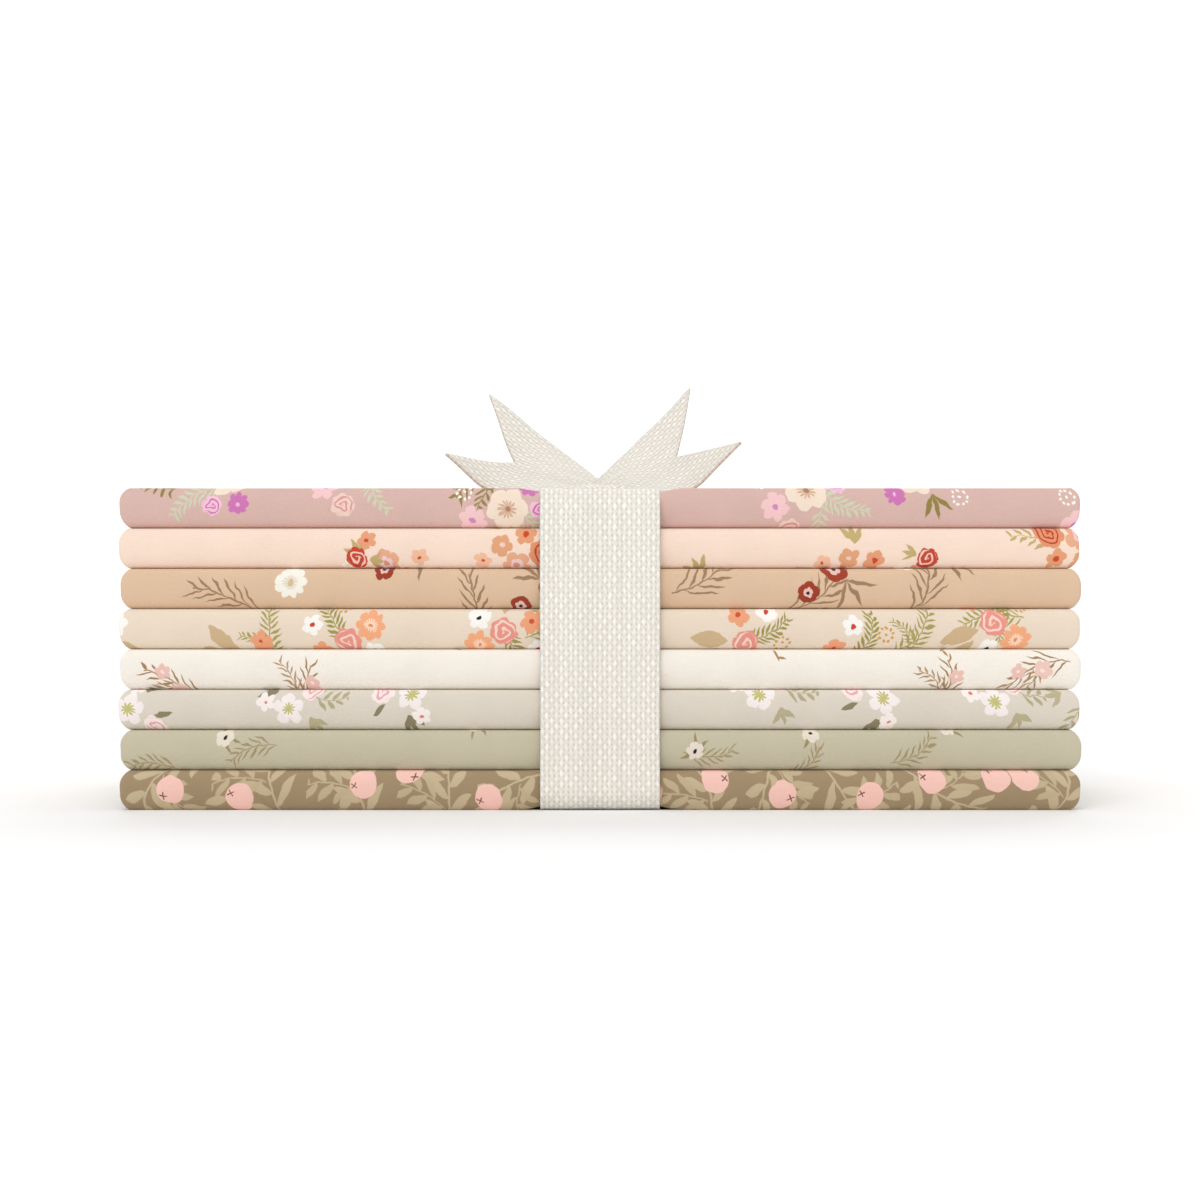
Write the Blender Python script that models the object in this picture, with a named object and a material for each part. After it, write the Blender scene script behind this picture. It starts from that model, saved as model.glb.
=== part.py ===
"""Fat quarter bundle: eight folded cuts of quilting cotton in a stack, tied round the middle with one
ribbon.

Metres, +Z up. The origin is on the surface the bundle lies on, under the middle of its box. The folded
edges (spines) of the stack face -Y, the two soft side folds face -X and +X, and the raw ends are at the
back, +Y.

Each fat quarter is one closed solid of one cut of cloth, 18 by 22 inches. Its two sides are folded in to
the middle (18 to 9 inches), and then it is folded in half twice (22 to 11 to 5.5 inches), which makes
eight plies, a little apart. The ribbon is one closed solid too: a band round the stack, a low knot on the
top and two free ends, cut to a swallowtail.
"""

import math

import bpy
import numpy as np

INCH = 0.0254

# The cut of cloth and its folded form
CUT_LENGTH = 22 * INCH
FOLDED_WIDTH = 9 * INCH
PLIES = 8
PLY = 0.0009
PLY_GAP = 0.0003
PITCH = PLY + PLY_GAP
FOLDED_HEIGHT = PLIES * PLY + (PLIES - 1) * PLY_GAP
SIDE_ROUNDING = 0.0036  # radius of the folded block's long side edges, seen from the front
CENTRE_SLIT = 0.0008  # between the two flaps that meet in the middle
RAW_INSET = 0.0006  # the raw ends stop short of the fold beside them
OUTER_BEND = 3.5 * PITCH
BACK_BEND = 1.5 * PITCH
INNER_BEND = 0.5 * PITCH

# The depth of the folded block, from the cut's length: four runs and the three bends between them
BEND_LENGTH = math.pi * (OUTER_BEND + BACK_BEND + INNER_BEND)
DEPTH = (CUT_LENGTH - BEND_LENGTH + 2 * FOLDED_HEIGHT + 2 * BACK_BEND + PLY + 2 * RAW_INSET) / 4

# The stack
LAYER_GAP = 0.0003
LAYER_PITCH = FOLDED_HEIGHT + LAYER_GAP

# One row for each fat quarter, from the bottom to the top of the stack
FAT_QUARTERS = [
    dict(name="fat_quarter_umber", color=(0.363, 0.266, 0.159), shift_x=0.0000),
    dict(name="fat_quarter_sage", color=(0.546, 0.503, 0.370), shift_x=0.0002),
    dict(name="fat_quarter_greige", color=(0.694, 0.631, 0.533), shift_x=-0.0002),
    dict(name="fat_quarter_ivory", color=(0.871, 0.807, 0.723), shift_x=0.0001),
    dict(name="fat_quarter_cream", color=(0.787, 0.672, 0.523), shift_x=-0.0001),
    dict(name="fat_quarter_apricot", color=(0.723, 0.509, 0.346), shift_x=0.0002),
    dict(name="fat_quarter_blush", color=(0.904, 0.694, 0.558), shift_x=-0.0002),
    dict(name="fat_quarter_rose", color=(0.680, 0.445, 0.402), shift_x=0.0000),
]
STACK_HEIGHT = len(FAT_QUARTERS) * FOLDED_HEIGHT + (len(FAT_QUARTERS) - 1) * LAYER_GAP

# The ribbon
RIBBON_WIDTH = 0.0286
RIBBON = 0.0010
RIBBON_GAP = 0.0003
RIBBON_COLOR = (0.815, 0.776, 0.694)
SPINE_CORNER = 0.0045  # centre-line radius where the band turns over the round spines, at the front
RAW_CORNER = 0.0014  # the same at the back, over the square raw ends

# How far the band presses the outer fat quarters in: fully under it, and not at all past the fade
PRESS = RIBBON + RIBBON_GAP
PRESS_FULL = RIBBON_WIDTH / 2 + RIBBON_GAP
PRESS_FADE = 0.0220

# The band's run over the top: it gathers from its full width to the knot
TOP_RUN = [
    dict(y=-0.0620, half_width=0.0143, thickness=0.0010),
    dict(y=-0.0420, half_width=0.0139, thickness=0.0011),
    dict(y=-0.0220, half_width=0.0112, thickness=0.0016),
    dict(y=-0.0070, half_width=0.0080, thickness=0.0026),
]

# The knot: a low cushion of ribbon, half its length along X, Y and Z, and the height of its middle
KNOT_HALF = (0.0082, 0.0078, 0.0022)
KNOT_Z = STACK_HEIGHT + 0.0014
KNOT_SQUARENESS = 0.62  # 1 is an ellipsoid, and less is boxier

# The two free ends. Each lies between a front edge, which runs low over the top and turns up at the bend,
# and a rear edge, which rises all the way. The places are those at the knot, at the bend and at the tip,
# and bend is how much of the length comes before it.
NOTCH = 0.40  # how much of the length the swallowtail's cut takes
BEND_ROUND = 0.12  # how much of the length the bend is rounded over, on either side
LEFT_END = dict(
    bend=0.63,
    front=[(-0.0030, -0.0060, 0.0779), (-0.0287, -0.0100, 0.0774), (-0.0403, -0.0103, 0.0870)],
    rear=[(0.0027, 0.0000, 0.0790), (-0.0177, 0.0090, 0.0946), (-0.0296, 0.0103, 0.1037)],
)
RIGHT_END = dict(
    bend=0.52,
    front=[(0.0035, -0.0065, 0.0779), (0.0238, -0.0100, 0.0774), (0.0367, -0.0103, 0.0902)],
    rear=[(-0.0025, -0.0025, 0.0790), (0.0114, 0.0085, 0.0928), (0.0242, 0.0103, 0.1054)],
)


def clear_scene():
    for obj in list(bpy.data.objects):
        bpy.data.objects.remove(obj, do_unlink=True)


def cloth_material(name, color, roughness):
    material = bpy.data.materials.new(name)
    material.use_nodes = True
    shader = material.node_tree.nodes["Principled BSDF"]
    shader.inputs["Base Color"].default_value = (*color, 1.0)
    shader.inputs["Roughness"].default_value = roughness
    shader.inputs["Metallic"].default_value = 0.0
    return material


def add_object(name, points, faces, material=None):
    mesh = bpy.data.meshes.new(name)
    mesh.from_pydata([tuple(point) for point in points], [], faces)
    mesh.update()
    obj = bpy.data.objects.new(name, mesh)
    bpy.context.scene.collection.objects.link(obj)
    if material is not None:
        mesh.materials.append(material)
    return obj


def loft(rings, closed_path):
    """Points and faces of a solid through rings of equally many points, with caps if the path is open."""
    count = len(rings)
    size = len(rings[0])
    points = [point for ring in rings for point in ring]
    faces = []
    for i in range(count if closed_path else count - 1):
        here = i * size
        there = (i + 1) % count * size
        for j in range(size):
            k = (j + 1) % size
            faces.append((here + j, here + k, there + k, there + j))
    if not closed_path:
        faces.append(tuple(reversed(range(size))))
        faces.append(tuple((count - 1) * size + j for j in range(size)))
    return points, faces


def arc(center, radius, first_deg, last_deg, steps):
    """Points of a circular arc, from one angle to the other."""
    angles = np.radians(np.linspace(first_deg, last_deg, steps + 1))
    return [(center[0] + radius * math.cos(a), center[1] + radius * math.sin(a)) for a in angles]


def fold_stations():
    """The path of the cloth's right side through the folds, as (y, z, normal angle) stations.

    The cloth runs forward along the bottom, up round the outer bend of the spine, back along the top, down
    round the back bend, forward through the middle, round the inner bend, and back to its other raw end.
    The flaps lie one pitch to the inner side of it, against its normal.
    """
    spine_y = -DEPTH / 2 + FOLDED_HEIGHT / 2
    back_y = DEPTH / 2 - BACK_BEND - PLY / 2
    raw_y = DEPTH / 2 - RAW_INSET
    middle_z = FOLDED_HEIGHT / 2
    back_z = FOLDED_HEIGHT - PLY / 2 - BACK_BEND
    # radius is negative where the right side faces the bend's centre
    bends = [
        dict(y=spine_y, z=middle_z, radius=OUTER_BEND, first=-90, last=-270, steps=7),
        dict(y=back_y, z=back_z, radius=BACK_BEND, first=90, last=-90, steps=5),
        dict(y=spine_y, z=middle_z, radius=-INNER_BEND, first=-90, last=90, steps=4),
    ]
    stations = [(raw_y, PLY / 2, -90.0)]
    for bend in bends:
        for angle in np.linspace(bend["first"], bend["last"], bend["steps"] + 1):
            y = bend["y"] + bend["radius"] * math.cos(math.radians(angle))
            z = bend["z"] + bend["radius"] * math.sin(math.radians(angle))
            stations.append((y, z, float(angle)))
    stations.append((raw_y, middle_z - INNER_BEND, 90.0))
    return stations


def half_width_at(z):
    """Half the folded width at a height: full in the middle, drawn in towards the top and the bottom."""
    off_middle = max(0.0, abs(z - FOLDED_HEIGHT / 2) - (FOLDED_HEIGHT / 2 - SIDE_ROUNDING))
    return FOLDED_WIDTH / 2 - SIDE_ROUNDING + math.sqrt(SIDE_ROUNDING**2 - off_middle**2)


def cloth_profile(half_width, columns):
    """The cut's cross-section: one full-width ply, a hairpin fold at each side and the two flaps.

    Points are (x, n), with n along the right side's normal, 0 in the ply's middle and -PITCH in the
    flaps'. columns are extra places across the cloth, at plus and minus x, where the section can bend.
    """
    outer = PLY / 2
    bend_x = half_width - PITCH / 2 - outer
    bend_n = -PITCH / 2
    slit = CENTRE_SLIT / 2
    out = list(columns)
    back = list(reversed(columns))
    right = [(x, outer) for x in out]
    right += arc((bend_x, bend_n), PITCH / 2 + outer, 90, -90, 5)
    right += [(x, -PITCH - outer) for x in back]
    right += [(slit, -PITCH - outer), (slit, -PITCH + outer)]
    right += [(x, -PITCH + outer) for x in out]
    right += arc((bend_x, bend_n), PITCH / 2 - outer, -90, 90, 2)
    right += [(x, -outer) for x in back]
    left = [(-x, n) for x, n in reversed(right)]
    return right + left


def pressed(x, z, layer):
    """A point's height under the band: the outer fat quarters flatten by PRESS, less and less beside it."""
    fade = min(1.0, max(0.0, (PRESS_FADE - abs(x)) / (PRESS_FADE - PRESS_FULL)))
    keep = 1 - PRESS / FOLDED_HEIGHT * fade
    if layer == len(FAT_QUARTERS) - 1:
        return z * keep
    if layer == 0:
        return FOLDED_HEIGHT - (FOLDED_HEIGHT - z) * keep
    return z


def make_fat_quarter(layer, row):
    """One folded cut of cloth: its cross-section carried along the fold's path."""
    outer_layer = layer in (0, len(FAT_QUARTERS) - 1)
    columns = (PRESS_FULL, PRESS_FADE) if outer_layer else ()
    base_z = layer * LAYER_PITCH
    rings = []
    for y, z, angle in fold_stations():
        normal_y = math.cos(math.radians(angle))
        normal_z = math.sin(math.radians(angle))
        half_width = half_width_at(z - PITCH / 2 * normal_z)
        ring = []
        for x, n in cloth_profile(half_width, columns):
            local_z = pressed(x, z + n * normal_z, layer)
            ring.append((x + row["shift_x"], y + n * normal_y, base_z + local_z))
        rings.append(ring)
    points, faces = loft(rings, closed_path=False)
    material = cloth_material(row["name"], row["color"], 0.9)
    return add_object(row["name"], points, faces, material)


def band_stations():
    """The band's centre line round the stack, as (y, z, outward angle, half width, thickness) stations.

    It is a rounded rectangle, from the knot forward over the top, down the front, back under the
    stack and up behind it.
    """
    side_y = DEPTH / 2 + RIBBON_GAP + RIBBON / 2
    top_z = STACK_HEIGHT - RIBBON / 2
    bottom_z = RIBBON / 2
    corners = [
        dict(y=SPINE_CORNER - side_y, z=top_z - SPINE_CORNER, radius=SPINE_CORNER, first=90),
        dict(y=SPINE_CORNER - side_y, z=bottom_z + SPINE_CORNER, radius=SPINE_CORNER, first=180),
        dict(y=side_y - RAW_CORNER, z=bottom_z + RAW_CORNER, radius=RAW_CORNER, first=270),
        dict(y=side_y - RAW_CORNER, z=top_z - RAW_CORNER, radius=RAW_CORNER, first=360),
    ]
    half_width = RIBBON_WIDTH / 2
    stations = []
    for row in reversed(TOP_RUN):
        rise = (row["thickness"] - RIBBON) / 2
        stations.append((row["y"], top_z + rise, 90.0, row["half_width"], row["thickness"]))
    for corner in corners:
        for angle in np.linspace(corner["first"], corner["first"] + 90, 6):
            y = corner["y"] + corner["radius"] * math.cos(math.radians(angle))
            z = corner["z"] + corner["radius"] * math.sin(math.radians(angle))
            stations.append((y, z, float(angle), half_width, RIBBON))
    for row in TOP_RUN:
        rise = (row["thickness"] - RIBBON) / 2
        stations.append((-row["y"], top_z + rise, 90.0, row["half_width"], row["thickness"]))
    return stations


def make_band(material):
    rings = []
    for y, z, angle, half_width, thickness in band_stations():
        normal_y = math.cos(math.radians(angle))
        normal_z = math.sin(math.radians(angle))
        ring = []
        for x, n in ((-1, -1), (1, -1), (1, 1), (-1, 1)):
            out = n * thickness / 2
            ring.append((x * half_width, y + out * normal_y, z + out * normal_z))
        rings.append(ring)
    points, faces = loft(rings, closed_path=True)
    return add_object("ribbon", points, faces, material)


def make_knot():
    """A low cushion: a sphere's points pushed out to a rounded box, then sized along X, Y and Z."""
    around = 18
    levels = 10

    def rounded(value):
        return math.copysign(abs(value) ** KNOT_SQUARENESS, value)

    points = [(0, 0, KNOT_Z - KNOT_HALF[2])]
    for i in range(1, levels):
        tilt = math.pi * i / levels - math.pi / 2
        for j in range(around):
            turn = 2 * math.pi * j / around
            x = KNOT_HALF[0] * rounded(math.cos(tilt)) * rounded(math.cos(turn))
            y = KNOT_HALF[1] * rounded(math.cos(tilt)) * rounded(math.sin(turn))
            points.append((x, y, KNOT_Z + KNOT_HALF[2] * rounded(math.sin(tilt))))
    points.append((0, 0, KNOT_Z + KNOT_HALF[2]))
    faces = []
    for j in range(around):
        k = (j + 1) % around
        faces.append((0, 1 + k, 1 + j))
        for i in range(levels - 2):
            row = 1 + i * around
            faces.append((row + j, row + k, row + around + k, row + around + j))
        last = 1 + (levels - 2) * around
        faces.append((last + j, last + k, len(points) - 1))
    return add_object("knot_guide", points, faces)


def edge_curve(places, bend, t):
    """A free end's edge at each t: a line to the bend and one on to the tip, rounded into each other."""
    start, corner, tip = (np.array(place) for place in places)
    first = (corner - start) / bend
    second = (tip - corner) / (1 - bend)
    inside = np.clip(t - bend + BEND_ROUND, 0, 2 * BEND_ROUND)
    turned = inside**2 / (4 * BEND_ROUND) + np.maximum(t - bend - BEND_ROUND, 0)
    return start + first * t[..., None] + (second - first) * turned[..., None]


def make_free_end(name, end):
    """One free end: a strip between its two edge curves, as thick as the ribbon, with a swallowtail cut."""
    across = np.linspace(-1, 1, 7)
    along = np.linspace(0, 1, 13)
    s = along[:, None] * (1 - NOTCH * (1 - np.abs(across[None, :])))
    weight = ((across + 1) / 2)[None, :, None]
    front = edge_curve(end["front"], end["bend"], s)
    rear = edge_curve(end["rear"], end["bend"], s)
    middle = front * (1 - weight) + rear * weight
    normal = np.cross(np.gradient(middle, axis=0), np.gradient(middle, axis=1))
    normal /= np.linalg.norm(normal, axis=2, keepdims=True)
    rings = []
    for i in range(len(along)):
        near = list(middle[i] - normal[i] * RIBBON / 2)
        far = list(middle[i] + normal[i] * RIBBON / 2)
        rings.append(far + near[::-1])
    points, faces = loft(rings, closed_path=False)
    # The cut end isn't flat, so its cap is a row of quads
    size = 2 * len(across)
    faces.pop()
    first = (len(along) - 1) * size
    for j in range(len(across) - 1):
        faces.append((first + j, first + j + 1, first + size - 2 - j, first + size - 1 - j))
    return add_object(name, points, faces)


def face_outwards(obj):
    """Turns the faces of a closed mesh outwards, by the sign of its volume."""
    mesh = obj.data
    volume = 0.0
    for polygon in mesh.polygons:
        corners = [mesh.vertices[i].co for i in polygon.vertices]
        for b, c in zip(corners[1:-1], corners[2:]):
            volume += corners[0].dot(b.cross(c))
    if volume < 0:
        mesh.flip_normals()


def make_ribbon():
    """The ribbon as one solid: the band, with the knot and the free ends joined to it."""
    ribbon = make_band(cloth_material("ribbon", RIBBON_COLOR, 0.85))
    guides = [
        make_knot(),
        make_free_end("left_end_guide", LEFT_END),
        make_free_end("right_end_guide", RIGHT_END),
    ]
    face_outwards(ribbon)
    for guide in guides:
        face_outwards(guide)
        guide.hide_render = True
        guide.display_type = "WIRE"
        union = ribbon.modifiers.new("join_" + guide.name, "BOOLEAN")
        union.operation = "UNION"
        union.solver = "EXACT"
        union.object = guide
    return ribbon


def main():
    clear_scene()
    for layer, row in enumerate(FAT_QUARTERS):
        face_outwards(make_fat_quarter(layer, row))
    make_ribbon()


main()
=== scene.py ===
"""Looks of the fat quarter bundle: eight folded cuts of printed quilting cotton, and their ribbon.

Every cut is one thin sheet, folded as a maker folds it: both sides in to the middle, then in half twice.
Its map named "cloth" holds places on the flat cut in millimetres, and the prints are worked out on that
map, so that they run on round the folds. The ribbon is a coarse plain weave, gathered into a low knot
with two swallowtail ends.
"""

import math

import bpy
import numpy as np
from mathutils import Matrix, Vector


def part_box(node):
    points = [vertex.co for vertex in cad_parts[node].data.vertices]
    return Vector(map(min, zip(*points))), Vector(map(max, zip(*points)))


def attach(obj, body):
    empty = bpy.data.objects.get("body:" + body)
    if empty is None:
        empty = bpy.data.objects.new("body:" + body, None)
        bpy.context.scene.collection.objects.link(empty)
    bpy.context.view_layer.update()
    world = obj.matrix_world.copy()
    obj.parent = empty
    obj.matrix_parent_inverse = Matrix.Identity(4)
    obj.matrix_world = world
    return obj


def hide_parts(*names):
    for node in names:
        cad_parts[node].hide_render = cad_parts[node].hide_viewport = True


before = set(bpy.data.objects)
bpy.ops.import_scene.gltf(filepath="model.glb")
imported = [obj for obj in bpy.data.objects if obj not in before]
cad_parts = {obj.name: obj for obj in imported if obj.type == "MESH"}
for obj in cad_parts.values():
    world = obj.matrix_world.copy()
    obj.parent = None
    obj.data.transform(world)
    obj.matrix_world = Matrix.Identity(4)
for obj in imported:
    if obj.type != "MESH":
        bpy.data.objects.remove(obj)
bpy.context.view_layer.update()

MM = 0.001

# The folded cloth, in metres
CLOTH = 0.0005  # thickness, with the air in its weave
SIDE_ROUNDING = 0.0036  # of each folded cut's long side edges, seen from the front
NOSE_SQUARENESS = 10.0  # of the spine's bend: 2 is a half circle, and more is flatter in front
NOSE_BULGE = 0.0008  # of the spine's face, as the depth of a parabola
NOSE_PEAK = 0.45  # how far up the face the parabola stands out most: 0 is the middle and 1 the top
PUFF = 0.00014  # how much each face of a cut rises at its spine
PUFF_REACH = 0.006  # how far back from the spine that rise fades
CENTRE_SLIT = 0.0008  # between the two flaps that meet in the middle
PLY_WANDER = 0.00022  # how far the plies wander up and down
NOSE_WANDER = 0.00010  # how far the spine wanders in
SIDE_WANDER = 0.00022  # how far the side folds wander in
COLUMN = 0.0030  # spacing of the mesh across the flat plies
RUN_ROWS = 26  # rows of the mesh along each flat run of the fold

# The ribbon, in metres
RIBBON_WIDTH = 0.0286
RIBBON = 0.0008  # its thickness
PRESS = 0.0011  # how deep the band sinks into the outer cuts
PRESS_FULL = 0.0146  # half the width that is pressed all the way
PRESS_FADE = 0.0178  # half the width that is pressed at all
SPINE_CORNER = 0.0046  # radius where the band turns over the round spines
RAW_CORNER = 0.0014  # the same over the raw ends at the back
KNOT_HALF = (0.0080, 0.0076, 0.0021)
KNOT_RISE = 0.0014  # of the knot's middle above the stack
GATHER_START = 0.060  # how far from the knot the band starts to gather
KNOT_HALF_WIDTH = 0.0080  # half the band's width at the knot

# The free ends. Each lies between a front edge, which runs low over the top and turns up at the bend, and
# a rear edge, which rises all the way. The places are those at the knot, at the bend and at the tip, and
# bend is how much of the length comes before it.
NOTCH = 0.40  # how much of the length the swallowtail's cut takes
BEND_ROUND = 0.12  # how much of the length the bend is rounded over, on either side
LEFT_END = dict(
    bend=0.63,
    front=[(-0.0030, -0.0060, 0.0779), (-0.0287, -0.0100, 0.0774), (-0.0403, -0.0103, 0.0870)],
    rear=[(0.0027, 0.0000, 0.0790), (-0.0177, 0.0090, 0.0946), (-0.0296, 0.0103, 0.1037)],
)
RIGHT_END = dict(
    bend=0.52,
    front=[(0.0035, -0.0065, 0.0779), (0.0238, -0.0100, 0.0774), (0.0367, -0.0103, 0.0902)],
    rear=[(-0.0025, -0.0025, 0.0790), (0.0114, 0.0085, 0.0928), (0.0242, 0.0103, 0.1054)],
)

# Yarns and printing, in millimetres
COTTON_YARN = 0.72  # width of a pair of the cotton's yarns
WARP_PITCH = 1.155  # of the ribbon's yarns across its width
PICK_PITCH = 1.24  # of the yarns along its length
EDGE = 0.16  # softness of a printed edge
HAND = 1.1  # how far a print's outlines stray, as if drawn by hand

# The camera and the light
CAMERA_DISTANCE = 0.70  # from the stack's front
VIEW_WIDTH = 0.2849  # of what the camera sees there
EYE_HEIGHT = 0.050
FLOOR_REACH = 30.0
SKY_LIGHT = 0.62
SKY_SHOWN = 1.2  # the sky as the camera sees it, so that the backdrop is white

TOP_NODE = "fat_quarter_rose"
BOTTOM_NODE = "fat_quarter_umber"


# --------------------------------------------------------------------------------------------------
# Meshes
# --------------------------------------------------------------------------------------------------


def smoothstep(t):
    t = np.clip(t, 0.0, 1.0)
    return t * t * (3 - 2 * t)


def grid_mesh(name, sheets):
    """A mesh of one or more grids. Each sheet is (points, places): points[i, j] in metres, and places[i, j],
    the cloth map in millimetres. A face's normal is the second direction crossed with the first.
    """
    points, faces, places = [], [], []
    first = 0
    for grid, where in sheets:
        rows, columns = grid.shape[:2]
        number = np.arange(rows * columns).reshape(rows, columns) + first
        quads = np.stack(
            [number[:-1, :-1], number[:-1, 1:], number[1:, 1:], number[1:, :-1]], axis=-1
        ).reshape(-1, 4)
        points.append(grid.reshape(-1, 3))
        places.append(where.reshape(-1, 2))
        faces.append(quads)
        first += rows * columns
    points = np.concatenate(points)
    places = np.concatenate(places)
    faces = np.concatenate(faces)
    mesh = bpy.data.meshes.new(name)
    mesh.from_pydata(points.tolist(), [], faces.tolist())
    layer = mesh.uv_layers.new(name="cloth")
    layer.uv.foreach_set("vector", places[faces.ravel()].astype(np.float32).ravel())
    mesh.shade_smooth()
    mesh.update()
    piece = bpy.data.objects.new(name, mesh)
    bpy.context.scene.collection.objects.link(piece)
    return piece


def thicken(piece, thickness):
    solid = piece.modifiers.new("thickness", "SOLIDIFY")
    solid.thickness = thickness
    solid.offset = 0.0


class Ripple:
    """A gentle unevenness over two lengths: the sum of a few seeded cosine waves, mostly from -1 to 1."""

    def __init__(self, seed, shortest, longest, waves=7):
        source = np.random.default_rng(seed)
        length = source.uniform(shortest, longest, waves)
        turn = source.uniform(0, 2 * np.pi, waves)
        self.a = 2 * np.pi / length * np.cos(turn)
        self.b = 2 * np.pi / length * np.sin(turn)
        self.phase = source.uniform(0, 2 * np.pi, waves)

    def __call__(self, x, y):
        x, y = np.broadcast_arrays(x, y)
        waves = np.cos(x[..., None] * self.a + y[..., None] * self.b + self.phase)
        return waves.sum(axis=-1) / math.sqrt(len(self.phase))


# --------------------------------------------------------------------------------------------------
# The folded cuts
# --------------------------------------------------------------------------------------------------


def side_path(depth, height, ends):
    """The cloth's right side seen from the side, from raw end to raw end, as arrays of places and of the
    directions it faces, both with y and z as their two rows, and the plies' pitch.

    It runs forward along the bottom, round the spine's bend, back along the top, down round the back bend,
    forward through the middle, round the inner bend and back. The spine's bend is a superellipse,
    |y|^k + |z|^k = r^k, whose face a parabola makes convex, and beside it the cloth rises by PUFF times
    exp(-(way / PUFF_REACH)^2). ends moves the two raw ends in from the fold beside them.
    """
    pitch = (height - CLOTH) / 7
    spine_y = -depth / 2 + height / 2
    middle = height / 2
    back_radius = 1.5 * pitch
    back_y = depth / 2 - back_radius - CLOTH / 2
    back_z = height - CLOTH / 2 - back_radius

    turn = np.radians(np.linspace(-90, -270, 65))
    powers = np.abs(np.cos(turn)) ** NOSE_SQUARENESS + np.abs(np.sin(turn)) ** NOSE_SQUARENESS
    reach = powers ** (-1 / NOSE_SQUARENESS)
    nose = 3.5 * pitch * reach
    puffed = 1 + PUFF / (3.5 * pitch)
    bulge = NOSE_BULGE * (reach * np.sin(turn) - NOSE_PEAK) ** 2
    back = np.radians(np.linspace(90, -90, 11))
    inner = np.radians(np.linspace(-90, 90, 9))
    run = np.linspace(0, 1, RUN_ROWS + 1)
    low_y = spine_y + NOSE_BULGE * (1 + NOSE_PEAK) ** 2
    high_y = spine_y + NOSE_BULGE * (1 - NOSE_PEAK) ** 2
    high_run = high_y + (back_y - high_y) * run
    back_run = spine_y + (back_y - spine_y) * run
    puff = PUFF * np.exp(-(((high_run[1:-1] - high_y) / PUFF_REACH) ** 2))
    y = [
        (depth / 2 - ends[0]) + (low_y - depth / 2 + ends[0]) * run[:-1],
        spine_y + nose * np.cos(turn) + bulge,
        high_run[1:-1],
        back_y + back_radius * np.cos(back),
        back_run[::-1][1:-1],
        spine_y - 0.5 * pitch * np.cos(inner),
        spine_y + (depth / 2 - ends[1] - spine_y) * run[1:],
    ]
    z = [
        np.append(CLOTH / 2 - np.zeros(RUN_ROWS - len(puff)), CLOTH / 2 - puff[::-1]),
        middle + nose * np.sin(turn) * puffed,
        height - CLOTH / 2 + puff,
        back_z + back_radius * np.sin(back),
        np.full(RUN_ROWS - 1, middle + 0.5 * pitch),
        middle - 0.5 * pitch * np.sin(inner),
        np.full(RUN_ROWS, middle - 0.5 * pitch),
    ]
    faces = [
        np.full(RUN_ROWS, -np.pi / 2),
        turn,
        np.full(RUN_ROWS - 1, np.pi / 2),
        back,
        np.full(RUN_ROWS - 1, -np.pi / 2),
        inner,
        np.full(RUN_ROWS, np.pi / 2),
    ]
    path = np.stack([np.concatenate(y), np.concatenate(z)])
    faces = np.concatenate(faces)
    return path, np.stack([np.cos(faces), np.sin(faces)]), pitch


def cross_path(pitch, half_width):
    """The cloth's section across the stack, as x = base + share * half_width(row) and n, its depth below the
    right side: a flap, a hairpin, the full-width ply, a hairpin and the other flap. Also its places on the
    flat cut.
    """
    flat = np.linspace(0, 1, int(2 * half_width / COLUMN) + 1)
    flap = np.linspace(0, 1, 14)
    hairpin = np.linspace(0, 1, 9)[1:-1]
    slit = CENTRE_SLIT / 2
    radius = pitch / 2
    zero = np.zeros_like
    one = np.ones_like
    base = [-slit * (1 - flap), -radius * np.sin(np.pi * hairpin), zero(flat)]
    share = [-flap, -one(hairpin), 2 * flat - 1]
    below = [-pitch * one(flap), -radius - radius * np.cos(np.pi * hairpin), zero(flat)]
    base += [radius * np.sin(np.pi * hairpin), slit * flap]
    share += [one(hairpin), 1 - flap]
    below += [-radius + radius * np.cos(np.pi * hairpin), -pitch * one(flap)]
    base, share, below = (np.concatenate(part) for part in (base, share, below))
    x = base + share * half_width
    place = np.concatenate([[0], np.cumsum(np.hypot(np.diff(x), np.diff(below)))])
    return base, share, below, place


def pressed(x, z, height, name):
    """How the ribbon's band flattens the outer cuts, as the height that is left at each point."""
    keep = 1 - PRESS / height * smoothstep((PRESS_FADE - np.abs(x)) / (PRESS_FADE - PRESS_FULL))
    if name == TOP_NODE:
        return z * keep
    if name == BOTTOM_NODE:
        return height - (height - z) * keep
    return z


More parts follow.
